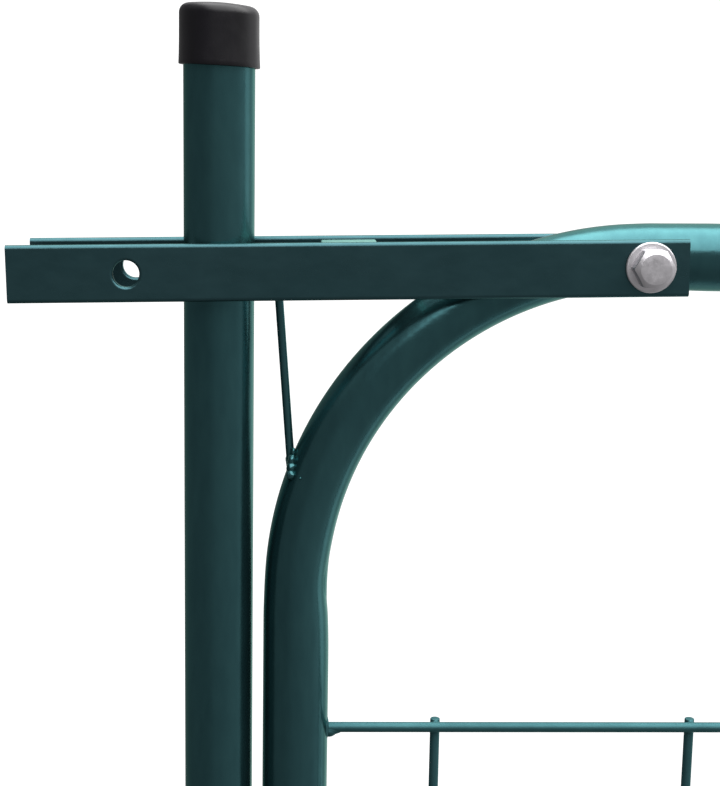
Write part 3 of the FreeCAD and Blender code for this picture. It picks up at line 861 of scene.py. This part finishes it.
def hexagon_body(place, axis, across, height, top_r, bore_r=None, chamfer_foot=False, around=96):
    """A hexagonal head or nut standing on place, with its corners turned off at the top."""
    lateral = Y_AXIS if abs(axis.y) < 0.9 else X_AXIS
    lift = axis.cross(lateral)

    def side(turn):
        local = (turn % (math.pi / 3)) - math.pi / 6
        return min(across / 2 / math.cos(local), across / math.sqrt(3) * CORNER_SHARE)

    def corner_height(turn):
        return height - (side(turn) - top_r) * CORNER_SLOPE

    def foot_radius(turn):
        return min(side(turn), top_r * 1.04)

    def foot_rise(turn):
        return max(0.0, (side(turn) - top_r * 1.02) * 0.5) + 0.05 * MM

    def ring(radius, level):
        made = []
        for k in range(around):
            turn = 2 * math.pi * (k + 0.5) / around
            reach = radius(turn) if callable(radius) else radius
            rise = level(turn) if callable(level) else level
            direction = lateral * math.cos(turn) + lift * math.sin(turn)
            made.append(place + axis * rise + direction * reach)
        return made

    rings = [ring(foot_radius, 0.0), ring(side, foot_rise)] if chamfer_foot else [ring(side, 0.0)]
    rings += [
        ring(side, lambda turn: corner_height(turn) - HEX_SOFT),
        ring(lambda turn: side(turn) - 0.12 * HEX_SOFT, corner_height),
        ring(top_r + HEX_SOFT, height - 0.35 * HEX_SOFT),
        ring(top_r - 0.4 * HEX_SOFT, height),
    ]
    if bore_r:
        rings += [
            ring(bore_r + NUT_CHAMFER, height),
            ring(bore_r, height - NUT_CHAMFER),
            ring(bore_r, 0.0),
        ]
        return skin(rings, around, closed=True)
    rings.append(ring(top_r * 0.5, height - 0.05 * MM))
    return skin(rings, around)


SEAT_GAP = 0.3 * MM            # between the front bar and the flange
FLANGE_EDGE_R = 0.5 * MM       # rounding of the flange's edge at the seat
FLANGE_RIM = 1.0 * MM          # the rim rolls over from this height
FLANGE_ROLL_R = 0.9 * MM
DISH_RISE = 0.45 * MM
FLANGE_HEIGHT = 2.4 * MM
BOLT_R = 7 * MM
BOLT_PITCH = 2 * MM
BOLT_TAIL = 9 * MM             # length of the threaded end
HEAD_AF = 21 * MM              # width across flats of the head and of the lock nut
HEAD_TOP_R = 8.6 * MM
HEAD_SUNK = 1.5 * MM           # the hexagon starts this far inside the flange


def flange_outline(flange_r):
    """Outline of the flange from its seat: rounded edge, rolled rim, and dish."""
    outline = [(0.0, 0.0), (0.0, flange_r - FLANGE_EDGE_R)]
    for k in range(1, 7):
        turn = math.pi / 2 * k / 6
        edge_r = flange_r - FLANGE_EDGE_R * (1 - math.sin(turn))
        outline.append((FLANGE_EDGE_R * (1 - math.cos(turn)), edge_r))
    for k in range(1, 9):
        turn = math.pi / 2 * k / 8
        rise = FLANGE_RIM + FLANGE_ROLL_R * math.sin(turn)
        outline.append((rise, flange_r - FLANGE_ROLL_R * (1 - math.cos(turn))))
    rolled_r, dish_r = flange_r - FLANGE_ROLL_R, HEAD_AF / 2
    for share in (0.25, 0.5, 0.75, 1.0):
        rise = FLANGE_RIM + FLANGE_ROLL_R + DISH_RISE * share**1.6
        outline.append((rise, rolled_r - (rolled_r - dish_r) * share))
    return outline + [(FLANGE_HEIGHT, dish_r * 0.9), (FLANGE_HEIGHT, 0.0)]


def make_pivot_bolt():
    """The flanged bolt: dished flange with a rolled rim, hexagon head, and a threaded tail."""
    low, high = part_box("pivot_bolt")
    seat = Vector((PIVOT.x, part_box("front_latch_bar")[0].y - SEAT_GAP, PIVOT.z))
    flange = lathe(flange_outline((high.x - low.x) / 2), seat, -Y_AXIS, 128)
    head_foot = seat - Y_AXIS * HEAD_SUNK
    head = hexagon_body(head_foot, -Y_AXIS, HEAD_AF, seat.y - low.y - HEAD_SUNK, HEAD_TOP_R)
    shank_end = Vector((PIVOT.x, high.y - BOLT_TAIL, PIVOT.z))
    shank = solid_rod(line(seat, shank_end, 4), BOLT_R, 64)
    tail = thread_outline(BOLT_TAIL - 1.2 * MM, BOLT_R, BOLT_PITCH)
    tail += [
        (BOLT_TAIL - 0.8 * MM, BOLT_R - 1.3 * MM),
        (BOLT_TAIL, BOLT_R - 2.0 * MM),
        (BOLT_TAIL, 0.0),
    ]
    thread = lathe(tail, shank_end, Y_AXIS, 64)
    bolt = join([flange, head, shank, thread])
    piece("pivot_bolt_finished", *bolt, "zinc", "leaf", ["pivot_bolt"], angle=28)


NYLON_R = 8.8 * MM             # outside of the lock nut's collar
LOCK_HEXAGON_SHARE = 0.74      # share of the lock nut's height that is hexagon


def make_lock_nut():
    """A hexagon with a turned collar at its end."""
    low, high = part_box("pivot_lock_nut")
    place = Vector((PIVOT.x, low.y, PIVOT.z))
    full = high.y - low.y
    flats = full * LOCK_HEXAGON_SHARE
    nut = hexagon_body(place, Y_AXIS, HEAD_AF, flats, HEAD_AF * 0.47, BOLT_R, True)
    outline = [
        (flats - 0.2 * MM, BOLT_R + 0.1 * MM),
        (flats - 0.2 * MM, NYLON_R + 0.5 * MM),
        (flats + 0.8 * MM, NYLON_R),
        (full - 1.2 * MM, NYLON_R),
        (full - 0.3 * MM, NYLON_R - 0.35 * MM),
        (full, NYLON_R - 1.1 * MM),
        (full - 0.6 * MM, BOLT_R + 0.7 * MM),
        (full - 0.9 * MM, BOLT_R + 0.1 * MM),
    ]
    collar = lathe(outline, place, Y_AXIS, closed=True)
    lock_nut = join([nut, collar])
    piece("lock_nut_finished", *lock_nut, "zinc", "leaf", ["pivot_lock_nut"], angle=28)


PIN_R = 6 * MM
PIN_PITCH = 1.75 * MM
PIN_EDGE_R = 1.2 * MM          # rounding of the pin's top
HOOK_R = 9 * MM                # bend of the hook
PLAIN_RUN = 2.5 * MM           # plain rod between the bend and the thread
COLLAR_THICK = 3 * MM
COLLAR_EDGE = 0.4 * MM


def make_pintle(name, node):
    """A hinge hook: threaded shank, smooth bend and pin, with a turned collar."""
    low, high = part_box(node)
    height = low.z + PIN_R
    bend_x = HINGE_X + HOOK_R
    smooth_end = Vector((bend_x + PLAIN_RUN, 0, height))
    path = line(smooth_end, Vector((bend_x, 0, height)), 2)
    path += arc(Vector((bend_x, 0, height + HOOK_R)), HOOK_R, -90, -180, 24)[1:]
    path += line(path[-1], Vector((HINGE_X, 0, high.z)), 12)[1:]
    hook = solid_rod(path, PIN_R, 48, PIN_EDGE_R)
    length = high.x - smooth_end.x
    outline = [(-0.5 * MM, 0.0), (-0.5 * MM, PIN_R - 0.9 * MM)]
    outline += thread_outline(length - 1.2 * MM, PIN_R, PIN_PITCH)
    outline += [
        (length - 0.5 * MM, PIN_R - 1.3 * MM),
        (length, PIN_R - 1.9 * MM),
        (length, 0.0),
    ]
    shank = lathe(outline, smooth_end, X_AXIS, 48)
    collar_r = (EYE_HIGH.y - EYE_LOW.y) / 2
    outline = [
        (0.0, PIN_R * 0.6),
        (0.0, collar_r - COLLAR_EDGE),
        (COLLAR_EDGE, collar_r),
        (COLLAR_THICK - COLLAR_EDGE, collar_r),
        (COLLAR_THICK, collar_r - COLLAR_EDGE),
        (COLLAR_THICK, PIN_R * 0.6),
    ]
    collar = lathe(outline, Vector((HINGE_X, 0, height + HOOK_R)), Z_AXIS, 64)
    piece(name, *join([hook, shank, collar]), "zinc", "posts", [node], angle=32)


HINGE_NUT_AF = 18 * MM
HINGE_NUT_HEIGHT = 10 * MM
WASHER_THICK = 2.5 * MM


def make_hinge_nuts():
    """A nut on either side of the hinge post, on both pintles."""
    top_r = HINGE_NUT_AF * 0.475
    nuts = []
    for node in ("upper_hinge_pintle", "lower_hinge_pintle"):
        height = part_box(node)[0].z + PIN_R
        for side in (-1, 1):
            place = Vector((HINGE_POST_X + side * (POST_R + WASHER_THICK), 0, height))
            size = (HINGE_NUT_AF, HINGE_NUT_HEIGHT, top_r, PIN_R, True)
            nuts.append(hexagon_body(place, X_AXIS * side, *size))
    piece("hinge_nuts_finished", *join(nuts), "zinc", "posts", ["hinge_nuts"], angle=28)


# ---- welds on the kept CAD nodes ----


TAB_HALF_THICK = 3 * MM
TAB_INSET = 4 * MM             # the beads stop this far from the tab's ends
STILE_BEAD_R = 2.0 * MM
EYE_BEAD_R = 1.5 * MM
BEAD_OUT = 1.1                 # the beads' middles stand off the tab's middle by this share


def make_hinge_welds():
    """Beads along both sides of each hinge tab, at the stile and at the eye."""
    beads = []
    for index, node in enumerate(("upper_hinge_eye", "lower_hinge_eye")):
        low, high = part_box(node)
        for side in (-1, 1):
            y = side * TAB_HALF_THICK
            stile_x = RIGHT_STILE_X + math.sqrt(TUBE_R**2 - y * y)
            eye_x = HINGE_X - math.sqrt(((high.y - low.y) / 2) ** 2 - y * y)
            for x, radius in ((stile_x, STILE_BEAD_R), (eye_x, EYE_BEAD_R)):
                start = Vector((x, y * BEAD_OUT, low.z + TAB_INSET))
                end = Vector((x, y * BEAD_OUT, high.z - TAB_INSET))
                beads.append(bead(line(start, end, 60), radius, index * 4 + side + x))
    piece("hinge_tab_welds", *join(beads), "green_coat", "leaf")


FOOT_BEAD_R = 3.2 * MM
FOOT_BEAD_OUT = 0.4 * MM       # the bead's middle stands this far off the post
FOOT_BEAD_UP = 0.5 * MM        # and off the plate


def make_foot_weld(name, x, node, seed):
    """The bead round a post's foot, on its base plate."""
    middle = Vector((x, 0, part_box(node)[1].z + FOOT_BEAD_UP))
    path = ring_points((middle, X_AXIS, Y_AXIS), POST_R + FOOT_BEAD_OUT, 120)
    piece(name, *bead(path, FOOT_BEAD_R, seed, closed=True), "green_coat", "posts")


SPACER_BEAD_R = 1.7 * MM


def make_spacer_welds():
    """Small beads under the spacer, where it meets the bars' inner faces."""
    beads = []
    for seed, side in ((1, -1), (2, 1)):
        y = side * (SPACER_HIGH.y - 0.4 * MM)
        start = Vector((SPACER_LOW.x + 2 * MM, y, SPACER_LOW.z + 0.3 * MM))
        end = Vector((SPACER_HIGH.x - 2 * MM, y, SPACER_LOW.z + 0.9 * MM))
        beads.append(bead(line(start, end, 60), SPACER_BEAD_R, seed))
    piece("spacer_welds", *join(beads), "latch_coat", "latch")


# ---- CAD nodes that stay ----


def dress(node, slot):
    """Gives a CAD node its slot's material, smooth with sharp edges."""
    mesh = frame["nodes"][node].data
    mesh.materials.clear()
    mesh.materials.append(SLOT_MATERIAL[slot])
    mesh.polygons.foreach_set("use_smooth", [True] * len(mesh.polygons))
    mesh.set_sharp_from_angle(angle=math.radians(30))


SLOT_MATERIAL = {
    "green_coat": coat_material("green_coat_tubes", COAT_DARK, COAT_LIGHT, 0.22, (1, 1, 0.3)),
    "latch_coat": coat_material("green_coat_bars", BAR_DARK, BAR_LIGHT, 0.29, (0.5, 1, 1)),
    "wire_coat": coat_material("green_coat_wires", COAT_DARK, COAT_LIGHT, 0.54, (0.5, 1, 0.5)),
    "black_plastic": pvc_material(),
    "zinc": zinc_material(),
}
for subpart in frame["record"]["subparts"]:
    dress(subpart["node"], subpart["material_slot"])
# The spacer gets its own coat with a painted highlight: its pale colour stands for the light that its top catches.
frame["nodes"]["latch_spacer"].data.materials[0] = coat_material(
    "green_coat_spacer_painted_highlight", SPACER_PAINTED_HIGHLIGHT_DARK, SPACER_PAINTED_HIGHLIGHT_LIGHT, SPACER_ROUGHNESS, (1, 1, 1)
)

make_post("latch_post_tube", POST_X, "latch_post")
make_post("hinge_post_tube", HINGE_POST_X, "hinge_post")
make_cap("latch_cap_moulding", POST_X, "latch_post_cap", 2.6)
make_cap("hinge_cap_moulding", HINGE_POST_X, "hinge_post_cap", -0.4)
make_hoop()
make_bottom_rail()
make_mesh_wires()
make_wire_welds()
make_rest_rod()
make_pivot_bolt()
make_lock_nut()
make_pintle("upper_pintle_threaded", "upper_hinge_pintle")
make_pintle("lower_pintle_threaded", "lower_hinge_pintle")
make_hinge_nuts()
make_hinge_welds()
make_foot_weld("latch_post_foot_weld", POST_X, "latch_base_plate", 3)
make_foot_weld("hinge_post_foot_weld", HINGE_POST_X, "hinge_base_plate", 6)
make_spacer_welds()

make_world()
make_floor()
make_camera()
bpy.context.scene.view_settings.view_transform = "Standard"
